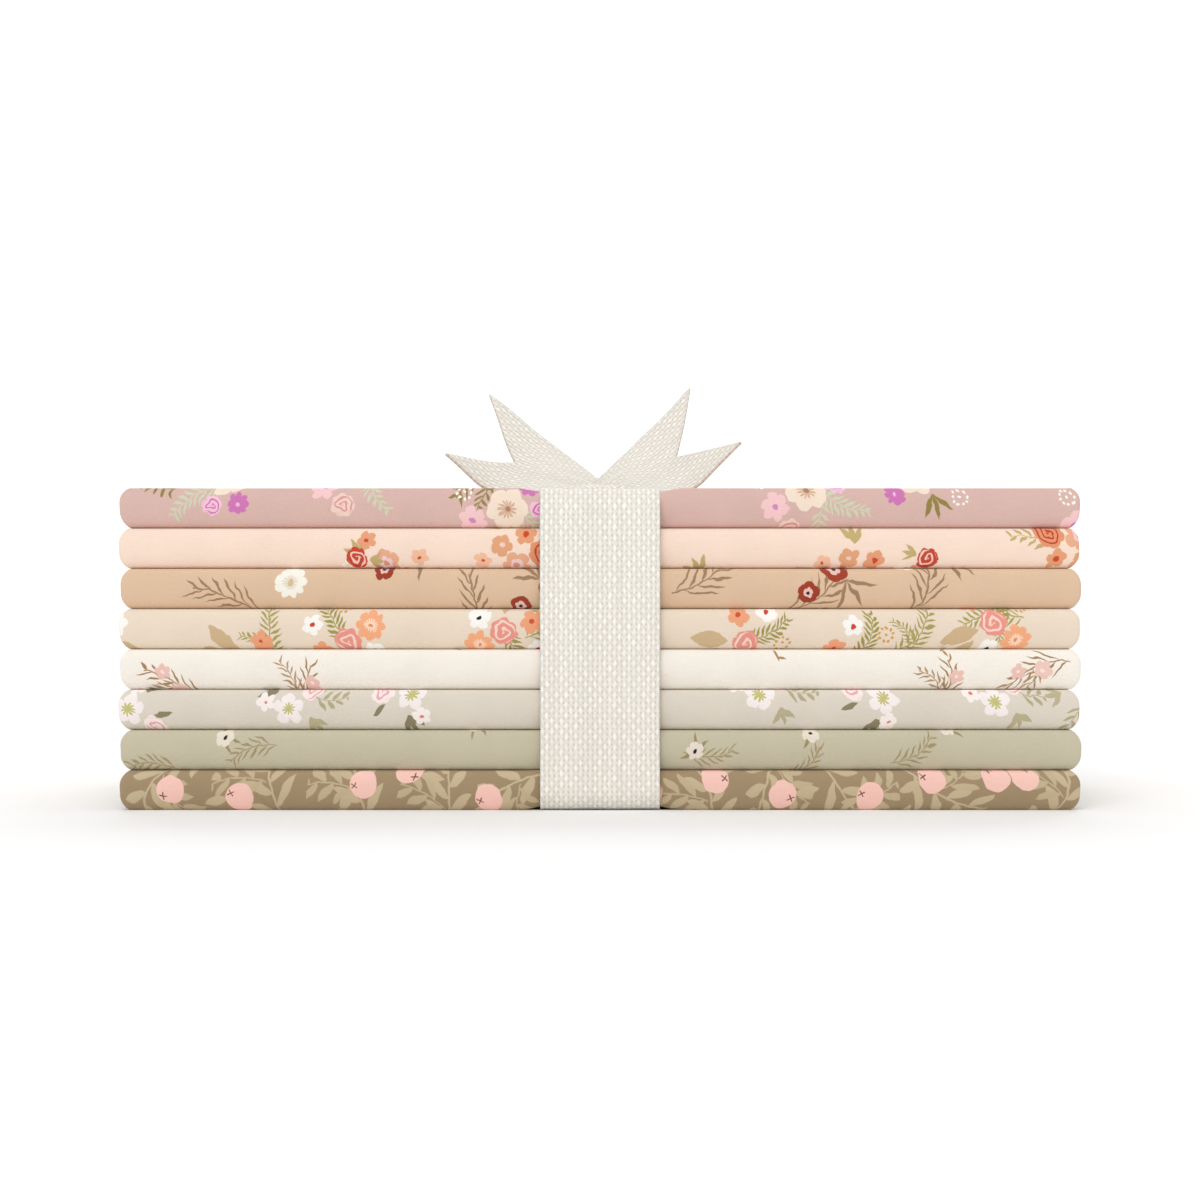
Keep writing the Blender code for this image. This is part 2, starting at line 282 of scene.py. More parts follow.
def folded_cut(name, seed):
    """One fat quarter: the section across carried along the side path, with a little unevenness.

    At row i and column j the point is x = base + share * a(i), (y, z) = path(i) + n(j) * normal(i), where
    a(i) is the half width at that height. The plies then wander by less than the gaps between them.
    """
    low, high = (np.array(corner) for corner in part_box(name))
    width, depth, height = high - low
    source = np.random.default_rng(seed)
    ends = source.uniform(0.0004, 0.0016, 2)
    (y, z), (normal_y, normal_z), pitch = side_path(depth, height, ends)
    off_middle = np.abs(z - pitch / 2 * normal_z - height / 2) - (height / 2 - SIDE_ROUNDING)
    inset = SIDE_ROUNDING - np.sqrt(SIDE_ROUNDING**2 - np.clip(off_middle, 0, SIDE_ROUNDING) ** 2)
    widest = width / 2 - pitch / 2 - CLOTH / 2
    base, share, below, across = cross_path(pitch, widest)
    along = np.concatenate([[0], np.cumsum(np.hypot(np.diff(y), np.diff(z)))])

    grid_x = base[None, :] + share[None, :] * (widest - inset)[:, None]
    grid_y = y[:, None] + below[None, :] * normal_y[:, None]
    grid_z = z[:, None] + below[None, :] * normal_z[:, None]

    lift = Ripple(seed + 1, 0.05, 0.12)
    nose = Ripple(seed + 2, 0.04, 0.15)
    sides = Ripple(seed + 3, 0.04, 0.12)
    inside = np.sin(np.pi * np.clip(grid_z / height, 0, 1))
    toward_nose = smoothstep((-grid_y - depth / 2 + 0.02) / 0.02)
    toward_side = smoothstep((np.abs(grid_x) - widest + 0.015) / 0.015)
    moved_z = grid_z + PLY_WANDER * inside * lift(grid_x, grid_y)
    moved_y = grid_y + NOSE_WANDER * toward_nose * (nose(grid_x, grid_z * 4) + 1)
    drawn_in = SIDE_WANDER * (sides(grid_y, grid_z * 9 + np.sign(grid_x) * 0.3) - 1)
    moved_x = grid_x + drawn_in * toward_side * (1 - 0.8 * toward_nose) * np.sign(grid_x)
    moved_z = pressed(moved_x, moved_z, height, name)

    center = (low + high) / 2
    points = np.stack([center[0] + moved_x, center[1] + moved_y, low[2] + moved_z], axis=-1)
    places = np.stack(np.broadcast_arrays(across[None, :] / MM, along[:, None] / MM), axis=-1)
    piece = grid_mesh(name + "_cloth", [(points, places)])
    thicken(piece, CLOTH)
    return piece


# --------------------------------------------------------------------------------------------------
# The ribbon
# --------------------------------------------------------------------------------------------------


def band_sheet(top_z, side_y):
    """The band: a rounded rectangle in Y and Z, and the ribbon's width along X. On the top it gathers to the
    knot, where its width shrinks and lengthwise pleats of height a * cos(k * w) take up the cloth.
    """
    turn = np.radians(np.linspace(0, 90, 9))
    start = 1 - np.sin(turn[1:])
    finish = 1 - np.cos(turn[1:])
    y, z, angle = [], [], []

    def add(new_y, new_z, new_angle):
        y.append(np.atleast_1d(new_y))
        z.append(np.atleast_1d(new_z))
        angle.append(np.broadcast_to(new_angle, np.shape(y[-1])))

    half = RIBBON / 2
    bottom_z = half
    top = top_z - half
    side = side_y - half
    run = np.linspace(0, 1, 41)
    add(-(side - SPINE_CORNER) * run, np.full(41, top), np.pi / 2)
    add(-side + SPINE_CORNER * start, top - SPINE_CORNER * finish, 0.5 * np.pi + turn[1:])
    rise = np.linspace(0, 1, 31)[1:]
    add(np.full(30, -side), top - SPINE_CORNER + (bottom_z - top + 2 * SPINE_CORNER) * rise, np.pi)
    add(-side + SPINE_CORNER * finish, bottom_z + SPINE_CORNER * start, np.pi + turn[1:])
    span = 2 * side - SPINE_CORNER - RAW_CORNER
    add(-side + SPINE_CORNER + span * run[1:], np.full(40, bottom_z), 1.5 * np.pi)
    add(side - RAW_CORNER * start, bottom_z + RAW_CORNER * finish, 1.5 * np.pi + turn[1:])
    add(np.full(30, side), bottom_z + RAW_CORNER + (top - bottom_z - 2 * RAW_CORNER) * rise, 2 * np.pi)
    add(side - RAW_CORNER * finish, top - RAW_CORNER * start, 2 * np.pi + turn[1:])
    add((side - RAW_CORNER) * (1 - run[1:]), np.full(40, top), 2.5 * np.pi)
    y, z, angle = (np.concatenate(part) for part in (y, z, angle))

    along = np.concatenate([[0], np.cumsum(np.hypot(np.diff(y), np.diff(z)))])
    from_knot = np.minimum(along, along[-1] - along)
    gather = smoothstep(1 - from_knot / GATHER_START)[:, None]
    w = np.linspace(-1, 1, 57)[None, :]
    edge = Ripple(71, 0.03, 0.12)
    half_width = RIBBON_WIDTH / 2 * (1 - gather) + KNOT_HALF_WIDTH * gather
    half_width = half_width + 0.00012 * edge(along, along * 0)[:, None]
    pleats = 0.5 + 0.5 * np.cos(w * 11 + 0.8 * np.sin(along * 60)[:, None])
    out = gather**1.5 * (0.0019 * pleats * (1 - 0.55 * w**2) + 0.0004)
    out = out + 0.00012 * (1 - gather) * Ripple(72, 0.02, 0.08)(along[:, None], w * 0.02)
    out = np.where(np.abs(z - (top_z - half))[:, None] < 0.002, np.maximum(out, 0), np.minimum(out, 0))
    x = w * half_width
    points = np.stack(
        [x, y[:, None] + out * np.cos(angle)[:, None], z[:, None] + out * np.sin(angle)[:, None]], axis=-1
    )
    places = np.stack(np.broadcast_arrays(w * RIBBON_WIDTH / 2 / MM, along[:, None] / MM), axis=-1)
    return points, places


def edge_curve(places, bend, t):
    """A free end's edge at each t: a line to the bend and one on to the tip, rounded into each other."""
    start, corner, tip = (np.array(place) for place in places)
    first = (corner - start) / bend
    second = (tip - corner) / (1 - bend)
    inside = np.clip(t - bend + BEND_ROUND, 0, 2 * BEND_ROUND)
    turned = inside**2 / (4 * BEND_ROUND) + np.maximum(t - bend - BEND_ROUND, 0)
    return start + first * t[..., None] + (second - first) * turned[..., None]


def free_end(end, seed, flip):
    """A free end: a sheet ruled between its two edge curves, ended by a swallowtail, so that along the line
    w it runs to 1 - NOTCH * (1 - |w|). Pleats fade out from the knot, and the tips curl a little.
    """
    w = np.linspace(-1, 1, 41)[None, :]
    s = np.linspace(0, 1, 61)[:, None] * (1 - NOTCH * (1 - np.abs(w)))
    weight = ((w + 1) / 2)[..., None]
    front = edge_curve(end["front"], end["bend"], s)
    rear = edge_curve(end["rear"], end["bend"], s)
    sheet = front * (1 - weight) + rear * weight
    normal = np.cross(np.gradient(sheet, axis=0), np.gradient(sheet, axis=1))
    normal /= np.linalg.norm(normal, axis=2, keepdims=True)
    normal *= -flip
    pleats = 0.0006 * (1 - smoothstep(s / 0.4)) * np.cos(w * 9.5 + seed)
    cup = 0.0004 * (w**2 - 0.4) * smoothstep(s / 0.6)
    curl = 0.0006 * smoothstep((s - 0.6) / 0.4) * np.abs(w)
    wander = 0.00015 * Ripple(seed, 0.012, 0.03)(s * 0.035, w * 0.014)
    sheet = sheet + normal * (pleats + cup + curl + wander)[..., None]
    length = 38.0  # in millimetres, and the map's place for it is past the band's
    along = s * length + 600 + 100 * flip
    places = np.stack(np.broadcast_arrays(w * RIBBON_WIDTH / 2 / MM, along), axis=-1)
    if flip < 0:
        sheet, places = sheet[:, ::-1], places[:, ::-1]
    return sheet, places


def knot_mesh(top_z):
    """The knot: a rounded box, each of whose points is a sphere's point with its parts raised to a power,
    with slanting pleats, and a waist where the ribbon goes under it.
    """
    around = np.linspace(0, 2 * np.pi, 97)[None, :]
    tilt = np.linspace(-np.pi / 2, np.pi / 2, 49)[:, None]

    def rounded(value, power=0.62):
        return np.sign(value) * np.abs(value) ** power

    x = rounded(np.cos(tilt)) * rounded(np.cos(around))
    y = rounded(np.cos(tilt)) * rounded(np.sin(around))
    z = rounded(np.sin(tilt)) * np.ones_like(around)
    x, y, z = x * KNOT_HALF[0], y * KNOT_HALF[1], z * KNOT_HALF[2]
    slant = x * math.cos(0.5) + y * math.sin(0.5)
    pleats = 1 + 0.055 * np.cos(slant * 2 * np.pi / 0.0031 + 0.6 * np.sin(y / 0.003))
    waist = 1 - 0.16 * np.exp(-((y / 0.0030) ** 2)) * (np.abs(x) / KNOT_HALF[0]) ** 2
    swell = pleats**0.5
    points = np.stack([x * waist * swell, y * swell, top_z + KNOT_RISE + z * pleats], axis=-1)
    places = np.stack([slant / MM, (y - x * 0.5) / MM + z / MM], axis=-1)
    return points, places


# --------------------------------------------------------------------------------------------------
# Materials
# --------------------------------------------------------------------------------------------------


def tint(red, green, blue):
    """A display colour of 0 to 255 as the linear colour that the shaders take."""
    shares = [part / 255 for part in (red, green, blue)]
    return tuple(share / 12.92 if share <= 0.04045 else ((share + 0.055) / 1.055) ** 2.4 for share in shares)


class Thread:
    """One number that varies over the cloth. Arithmetic on it adds the Math nodes."""

    def __init__(self, recipe, socket):
        self.recipe = recipe
        self.socket = socket

    def math(self, operation, *others, clamp=False):
        return self.recipe.math(operation, self, *others, clamp=clamp)

    def __add__(self, other):
        return self.math("ADD", other)

    def __sub__(self, other):
        return self.math("SUBTRACT", other)

    def __mul__(self, other):
        return self.math("MULTIPLY", other)

    def __truediv__(self, other):
        return self.math("DIVIDE", other)

    def __pow__(self, other):
        return self.math("POWER", other)

    def __rsub__(self, other):
        return self.recipe.math("SUBTRACT", other, self)

    __radd__ = __add__
    __rmul__ = __mul__

    def abs(self):
        return self.math("ABSOLUTE")

    def cos(self):
        return self.math("COSINE")

    def sin(self):
        return self.math("SINE")

    def fract(self):
        return self.math("FRACT")

    def floor(self):
        return self.math("FLOOR")

    def least(self, other):
        return self.math("MINIMUM", other)

    def most(self, other):
        return self.math("MAXIMUM", other)

    def step(self, soft):
        """A mask: 0 below zero and 1 above it, over a soft edge of the width given."""
        return self.recipe.math("MULTIPLY_ADD", self, 1.0 / soft, 0.5, clamp=True)


class Recipe:
    """The nodes of a material, or of the world, while they are being made."""

    def __init__(self, owner):
        owner.use_nodes = True
        self.owner = owner
        self.tree = owner.node_tree

    def finish(self, **inputs):
        """Feeds a material's shader, whose sockets are named with _ for a space, and gives the material."""
        shader = self.tree.nodes["Principled BSDF"]
        for key, value in inputs.items():
            self.feed(shader.inputs[key.replace("_", " ")], value)
        return self.owner

    def node(self, kind, settings=None, inputs=None):
        node = self.tree.nodes.new(kind)
        for key, value in (settings or {}).items():
            setattr(node, key, value)
        for key, value in (inputs or {}).items():
            self.feed(node.inputs[key], value)
        return node

    def feed(self, socket, value):
        if isinstance(value, Thread):
            value = value.socket
        if isinstance(value, bpy.types.NodeSocket):
            self.tree.links.new(value, socket)
        else:
            socket.default_value = value

    def math(self, operation, *values, clamp=False):
        settings = dict(operation=operation, use_clamp=clamp)
        node = self.node("ShaderNodeMath", settings, dict(enumerate(values)))
        return Thread(self, node.outputs[0])

    def vector(self, operation, *values):
        node = self.node("ShaderNodeVectorMath", dict(operation=operation), dict(enumerate(values)))
        return node.outputs[1 if operation in ("LENGTH", "DOT_PRODUCT") else 0]

    def split(self, vector):
        node = self.node("ShaderNodeSeparateXYZ", inputs={0: vector})
        return [Thread(self, socket) for socket in node.outputs]

    def join(self, x, y):
        return self.node("ShaderNodeCombineXYZ", inputs={0: x, 1: y}).outputs[0]

    def mix(self, share, under, over, blend="MIX"):
        """A colour over another, where share says how much."""
        settings = dict(data_type="RGBA", blend_type=blend)
        inputs = {0: share, 6: self.opaque(under), 7: self.opaque(over)}
        return self.node("ShaderNodeMix", settings, inputs).outputs[2]

    @staticmethod
    def opaque(color):
        return (*color, 1.0) if isinstance(color, tuple) else color

    def noise(self, vector, scale, detail=2.0, roughness=0.5):
        inputs = {"Vector": vector, "Scale": scale, "Detail": detail, "Roughness": roughness}
        return self.node("ShaderNodeTexNoise", dict(noise_dimensions="2D"), inputs)

    def cloth_place(self):
        """The place on the flat cut, in millimetres."""
        return self.node("ShaderNodeUVMap", dict(uv_map="cloth")).outputs[0]

    def shaken(self, vector, scale, detail, reach):
        """A vector strayed by noise, by up to half of reach either way."""
        lots = self.vector("SUBTRACT", self.noise(vector, scale, detail).outputs["Color"], (0.5, 0.5, 0.5))
        return self.vector("ADD", vector, self.vector("MULTIPLY", lots, reach))

    def chance(self, dimensions, **place):
        """A random number from 0 to 1 for each place."""
        node = self.node("ShaderNodeTexWhiteNoise", dict(noise_dimensions=dimensions), place)
        return Thread(self, node.outputs[0])

    def shaded(self, color, shade):
        """A colour made lighter or darker, where shade is about 1."""
        grey = self.node("ShaderNodeCombineColor", inputs={0: shade, 1: shade, 2: shade}).outputs[0]
        return self.mix(1.0, color, grey, "MULTIPLY")

    def bump(self, height, strength, distance):
        inputs = {"Strength": strength, "Distance": distance, "Height": height}
        return self.node("ShaderNodeBump", inputs=inputs).outputs[0]

    def cells(self, vector, pitch, jitter):
        """Scattered spots about pitch apart: the way from the nearest spot, and its three random numbers."""
        inputs = {"Vector": vector, "Scale": 1.0 / pitch, "Randomness": jitter}
        node = self.node("ShaderNodeTexVoronoi", dict(voronoi_dimensions="2D"), inputs)
        way = self.vector("SUBTRACT", vector, node.outputs["Position"])
        return way, self.split(node.outputs["Color"])

    def turned(self, vector, angle):
        """A vector turned about Z by an angle in radians, which may vary."""
        inputs = {"Vector": vector, "Angle": angle}
        return self.node("ShaderNodeVectorRotate", dict(rotation_type="Z_AXIS"), inputs).outputs[0]

    def placed(self, vector, at, turn_deg, size):
        """The unit space of a motif that lies at a place, turned and sized."""
        inputs = {
            "Vector": vector,
            "Location": (at[0], at[1], 0.0),
            "Rotation": (0.0, 0.0, math.radians(turn_deg)),
            "Scale": (size, size, 1.0),
        }
        return self.node("ShaderNodeMapping", dict(vector_type="TEXTURE"), inputs).outputs[0]

    def polar(self, vector):
        x, y, _ = self.split(vector)
        radius = Thread(self, self.vector("LENGTH", vector))
        return radius, y.math("ARCTAN2", x)


# Motifs. Each takes its unit space and the size of the unit in millimetres, and gives its mask.


def blossom(recipe, space, size, petals=5, notch=0.36):
    """A flower of round petals: r below 1 - notch + notch * |cos(petals * angle / 2)|^0.55. Gives the mask
    of its petals, the radius and the angle, for what is drawn on them.
    """
    radius, angle = recipe.polar(space)
    lobes = (angle * (petals / 2)).cos().abs() ** 0.55
    outline = lobes * notch + (1 - notch)
    return (outline - radius).step(EDGE / size), radius, angle


def heart(radius, share, size):
    """The round middle of a flower, out to a share of its radius."""
    return (share - radius).step(EDGE / size)


def rosette_lines(radius, angle, size, turns, rings):
    """The curled petal edges of a full rose: bands of a spiral that is broken up round the flower."""
    spiral = (radius * (rings * 2 * math.pi) + angle + (angle * turns).sin() * 0.9).sin()
    return ((spiral - 0.45) * 0.2).step(EDGE / size) * (0.82 - radius).step(EDGE / size)


def leaf(recipe, space, size, width=0.34):
    """An almond leaf along X, from -1 to 1: |y| below width * (1 - x^2)."""
    x, y, _ = recipe.split(space)
    return ((1 - x * x) * width - y.abs()).step(EDGE / size)


def sprig(recipe, space, size, leaves=5, slope=0.9, length=0.42, width=0.085, bend=0.25, stem=0.022):
    """A stem along X from -1 to 1 with slanting leaves by turns on either side. Along the slanted line
    t = x - slope * |y| there is one leaf in each step of 1 / leaves, and it is width * 4 * q * (1 - q) wide,
    q being |y| over the leaf's reach, which shrinks towards the tip.
    """
    x, y, _ = recipe.split(space)
    y = y - (x * x - 0.4) * bend
    out = y.abs()
    side = y.math("SIGN")
    slant = x - out * slope
    step = (slant * leaves + side * 0.25).fract() - 0.5
    reach = (1 - slant) * (0.30 * length) + 0.55 * length
    share = out / reach
    blade = share * (1 - share) * (4 * width) - step.abs() / leaves * 0.75
    inside = (0.95 - slant.abs()).step(EDGE / size)
    blades = blade.step(EDGE / size) * inside
    line = (stem - out).step(EDGE / size) * (1 - x.abs()).step(EDGE / size)
    return blades.most(line)


def fan(recipe, space, size, blades=3, spread=0.9, width=0.16):
    """Leaves that fan out from the unit space's middle: blades of them within spread radians of +X."""
    radius, angle = recipe.polar(space)
    step = (angle * (blades / (2 * spread)) + blades / 2).fract() - 0.5
    off = step.abs() * radius * (2 * spread / blades)
    blade = radius * (1 - radius) * (4 * width) - off
    return blade.step(EDGE / size) * (spread - angle.abs()).step(0.05)


def dots(recipe, space, size, count=9, radius_share=0.75, dot=0.1):
    """A ring of dots round the middle, and one in it."""
    radius, angle = recipe.polar(space)
    step = (angle * (count / (2 * math.pi))).fract() - 0.5
    off = step * radius * (2 * math.pi / count)
    away = radius - radius_share
    ring = (dot - (off * off + away * away) ** 0.5).step(EDGE / size)
    return ring.most((dot - radius).step(EDGE / size))


# Painters. Each lays one motif over a colour: spec is its row of a chart, and keep is 0 where the motif
# is left out.


def paint_blossom(recipe, color, space, spec, keep):
    size = spec["size"]
    petals = spec.get("petals", 5)
    mask, radius, angle = blossom(recipe, space, size, petals, spec.get("notch", 0.36))
    shade = (radius * 1.1 - 0.1) * 0.35
    petal = recipe.mix(shade, spec["petal"], spec.get("tip", spec["petal"]))
    color = recipe.mix(mask * keep, color, petal)
    if "rim" in spec:
        inner = recipe.vector("MULTIPLY", space, (2.1, 2.1, 1.0))
        ring, _, _ = blossom(recipe, inner, size / 2.1, petals, 0.3)
        color = recipe.mix(ring * keep, color, spec["rim"])
    if "stamens" in spec:
        star = ((angle * petals + 0.4).cos().abs() * 0.3 + 0.16 - radius).step(EDGE / size)
        color = recipe.mix(star * keep, color, spec["stamens"])
    if "heart" in spec:
        middle = heart(radius, spec.get("heart_share", 0.2), size)
        color = recipe.mix(middle * keep, color, spec["heart"])
    return color


def paint_rose(recipe, color, space, spec, keep):
    size = spec["size"]
    mask, radius, angle = blossom(recipe, space, size, spec.get("petals", 7), 0.14)
    color = recipe.mix(mask * keep, color, spec["petal"])
    lines = rosette_lines(radius, angle, size, spec.get("curls", 3.0), spec.get("rings", 2.3))
    return recipe.mix(lines * keep, color, spec["line"])


def paint_sprig(recipe, color, space, spec, keep):
    shape = {key: spec[key] for key in ("leaves", "slope", "length", "width", "bend") if key in spec}
    return recipe.mix(sprig(recipe, space, spec["size"], **shape) * keep, color, spec["leaf"])


def paint_leaf(recipe, color, space, spec, keep):
    mask = leaf(recipe, space, spec["size"], spec.get("width", 0.34))
    return recipe.mix(mask * keep, color, spec["leaf"])


def paint_fan(recipe, color, space, spec, keep):
    shape = {key: spec[key] for key in ("blades", "spread", "width") if key in spec}
    return recipe.mix(fan(recipe, space, spec["size"], **shape) * keep, color, spec["leaf"])


def paint_dots(recipe, color, space, spec, keep):
    shape = {key: spec[key] for key in ("count", "dot") if key in spec}
    return recipe.mix(dots(recipe, space, spec["size"], **shape) * keep, color, spec["leaf"])


def paint_fruit(recipe, color, space, spec, keep):
    """A round fruit, a little wider than high, with a small dark calyx of crossed strokes near its edge."""
    size = spec["size"]
    x, y, _ = recipe.split(space)
    radius = (x * x * 0.92 + y * y * 1.1) ** 0.5
    color = recipe.mix((0.95 - radius).step(EDGE / size) * keep, color, spec["petal"])
    up = y - 0.62
    cross = 0.055 - (x - up).abs().least((x + up).abs())
    near = 0.26 - (x * x + up * up) ** 0.5
    return recipe.mix(cross.least(near).step(EDGE / size) * keep, color, spec["line"])


PAINTERS = dict(
    blossom=paint_blossom,
    rose=paint_rose,
    sprig=paint_sprig,
    leaf=paint_leaf,
    fan=paint_fan,
    dots=paint_dots,
    fruit=paint_fruit,
)

# The prints. Each is a ground colour and layers of scattered bunches: pitch is how far apart the bunches
# are, in millimetres, chance how many of their places are filled, and shift moves the layer on the cut.
# Each bunch is a chart of motifs, whose places and sizes are in millimetres from the bunch's middle, and
# turn is in degrees.

OLIVE = tint(146, 130, 66)
BARK = tint(160, 127, 95)
KHAKI = tint(196, 172, 116)
WHITE = tint(250, 246, 240)
BLACK = tint(38, 30, 28)
MAGENTA = tint(206, 118, 180)
RUST = tint(158, 60, 38)
PALE_BLOOM = tint(236, 194, 182)
POPPY_RED = tint(206, 72, 44)
CORAL = tint(206, 84, 56)
FERN = tint(203, 213, 180)
MOSS = tint(168, 158, 86)
TAN_LEAF = tint(206, 178, 138)
TWIG = tint(176, 134, 90)
GREY_LEAF = tint(140, 130, 100)
MEADOW = tint(158, 142, 100)
VINE = tint(200, 182, 148)

ROSE_PRINT = dict(
    ground=tint(216, 181, 172),
    layers=[
        dict(pitch=26, jitter=0.5, chance=0.66, shift=(195, 10), chart=[
            dict(motif="sprig", at=(0, 0), size=9, leaf=OLIVE, leaves=4, width=0.047),
            dict(motif="sprig", at=(3, 4), turn=38, size=5.5, leaf=OLIVE, leaves=3, width=0.06,
                 bend=-0.2),
        ]),
        dict(pitch=36, jitter=0.45, chance=0.85, shift=(55, 76), chart=[
            dict(motif="sprig", at=(-9, 3), turn=150, size=6.5, leaf=FERN, leaves=4, width=0.05),
            dict(motif="sprig", at=(-4, 8), turn=100, size=5.5, leaf=FERN, leaves=3, width=0.06),
            dict(motif="fan", at=(3, -5), turn=-60, size=6.0, leaf=OLIVE, blades=3, width=0.09),
            dict(motif="blossom", at=(-1, -1), turn=10, size=5.0, petals=6, notch=0.22,
                 petal=tint(241, 220, 200), tip=tint(248, 232, 216), stamens=tint(214, 178, 150),
                 heart=tint(176, 128, 104), heart_share=0.13),
            dict(motif="blossom", at=(7.2, 2.2), turn=40, size=3.4, petals=6, petal=tint(244, 200, 202),
                 heart=tint(206, 140, 186)),
            dict(motif="blossom", at=(-5.6, -7.0), turn=70, size=2.6, petals=8, notch=0.3, petal=MAGENTA,
                 heart=tint(240, 186, 214), heart_share=0.16),
            dict(motif="rose", at=(4.0, 8.2), size=2.8, petal=tint(240, 208, 196),
                 line=tint(222, 150, 150)),
            dict(motif="rose", at=(-8.6, -1.6), turn=50, size=2.3, petal=tint(240, 196, 216),
                 line=tint(214, 104, 176)),
            dict(motif="dots", at=(9.6, -4.4), size=2.2, leaf=WHITE, count=9, dot=0.15),
        ]),
    ],
)

BLUSH_PRINT = dict(
    ground=tint(246, 221, 203),
    layers=[
        dict(pitch=40, jitter=0.45, chance=0.85, shift=(191, 111), chart=[
            dict(motif="fan", at=(-6, 4), turn=130, size=5.0, leaf=KHAKI, blades=3, width=0.15),
            dict(motif="fan", at=(5, -6), turn=-60, size=5.0, leaf=KHAKI, blades=3, width=0.15),
            dict(motif="sprig", at=(8.4, 5), turn=30, size=4.6, leaf=KHAKI, leaves=2, width=0.09,
                 length=0.5),
            dict(motif="blossom", at=(-4.6, 0.4), size=2.6, petal=tint(226, 164, 122),
                 heart=tint(240, 206, 192)),
            dict(motif="blossom", at=(0.4, 4.0), turn=30, size=2.5, petal=tint(229, 160, 118),
                 heart=POPPY_RED, heart_share=0.3),
            dict(motif="blossom", at=(-0.2, -3.6), turn=60, size=3.5, petal=tint(232, 172, 138),
                 rim=tint(240, 206, 206), heart=tint(222, 150, 116)),
            dict(motif="rose", at=(5.6, 0.6), size=3.7, petal=tint(226, 150, 110),
                 line=tint(196, 64, 42), rings=2.9, curls=4.0),
            dict(motif="blossom", at=(-8.4, -4.2), turn=15, size=2.2, petal=tint(243, 190, 158),
                 heart=CORAL),
            dict(motif="dots", at=(9.0, -3.6), size=1.8, leaf=WHITE, count=7, dot=0.2),
        ]),
        dict(pitch=24, jitter=0.7, chance=0.28, shift=(180, 54), chart=[
            dict(motif="rose", at=(0, 0), size=2.6, petal=tint(200, 70, 48), line=tint(244, 206, 190),
                 rings=1.9),
            dict(motif="blossom", at=(4.6, 1.0), size=2.2, petal=tint(230, 160, 122), heart=POPPY_RED),
            dict(motif="fan", at=(1.6, -2.6), turn=-50, size=3.4, leaf=KHAKI, blades=3, width=0.15),
        ]),
    ],
)

APRICOT_PRINT = dict(
    ground=tint(222, 190, 160),
    layers=[
        dict(pitch=27, jitter=0.6, chance=0.62, shift=(58, 161), chart=[
            dict(motif="sprig", at=(0, 0), size=9.5, leaf=BARK, leaves=3, slope=1.5, length=0.44,
                 width=0.044),
        ]),
        dict(pitch=34, jitter=0.5, chance=0.75, shift=(30, 63), chart=[
            dict(motif="fan", at=(-2, 3), turn=120, size=7.5, leaf=BARK, blades=3, width=0.07,
                 spread=1.2),
            dict(motif="fan", at=(3, -2), turn=-35, size=6.5, leaf=BARK, blades=3, width=0.07),
            dict(motif="blossom", at=(0, 0), size=3.3, petals=5, notch=0.2, petal=RUST,
                 tip=tint(176, 74, 48), rim=PALE_BLOOM, heart=BLACK, heart_share=0.17),
            dict(motif="blossom", at=(7.2, 4.8), turn=40, size=2.6, petals=5, notch=0.2, petal=RUST,
                 rim=PALE_BLOOM, heart=BLACK, heart_share=0.17),
            dict(motif="blossom", at=(-8.4, -4.6), turn=20, size=3.8, petals=9, notch=0.22,
                 petal=tint(246, 242, 230), heart=tint(214, 190, 150), stamens=tint(226, 214, 192)),
        ]),
    ],
)

CREAM_PRINT = dict(
    ground=tint(234, 217, 197),
    layers=[
        dict(pitch=22, jitter=0.55, chance=0.55, shift=(58, 101), chart=[
            dict(motif="sprig", at=(0, 0), size=7.5, leaf=MOSS, leaves=5, slope=0.8, length=0.4,
                 width=0.036),
            dict(motif="sprig", at=(-2, 2), turn=70, size=4.5, leaf=MOSS, leaves=4, length=0.4,
                 width=0.045),
        ]),
        dict(pitch=30, jitter=0.45, chance=0.9, shift=(193, 47), chart=[
            dict(motif="sprig", at=(-7, 2), turn=165, size=5.5, leaf=tint(160, 150, 78), leaves=4,
                 width=0.06),
            dict(motif="leaf", at=(5, -6), turn=-50, size=4.8, leaf=TAN_LEAF, width=0.42),
            dict(motif="leaf", at=(8.4, -3), turn=-10, size=3.8, leaf=TAN_LEAF, width=0.42),
            dict(motif="rose", at=(-0.8, 0.6), size=3.3, petal=tint(234, 150, 136),
                 line=tint(248, 214, 200), rings=2.0),
            dict(motif="blossom", at=(5.6, 2.4), turn=20, size=2.8, petal=WHITE, heart=BLACK,
                 heart_share=0.17),
            dict(motif="blossom", at=(-4.0, -5.6), turn=50, size=2.7, petal=tint(238, 164, 124),
                 heart=CORAL),
            dict(motif="blossom", at=(1.2, 7.2), turn=35, size=3.6, petals=8, notch=0.3,
                 petal=tint(244, 172, 128), stamens=tint(252, 222, 196), heart=tint(236, 140, 100),
                 heart_share=0.14),
            dict(motif="blossom", at=(-9.6, -1.6), turn=35, size=2.5, petal=WHITE,
                 heart=tint(206, 66, 48), heart_share=0.24),
            dict(motif="dots", at=(-7.4, 6.2), size=2.2, leaf=tint(208, 160, 80), count=9, dot=0.16),
        ]),
    ],
)

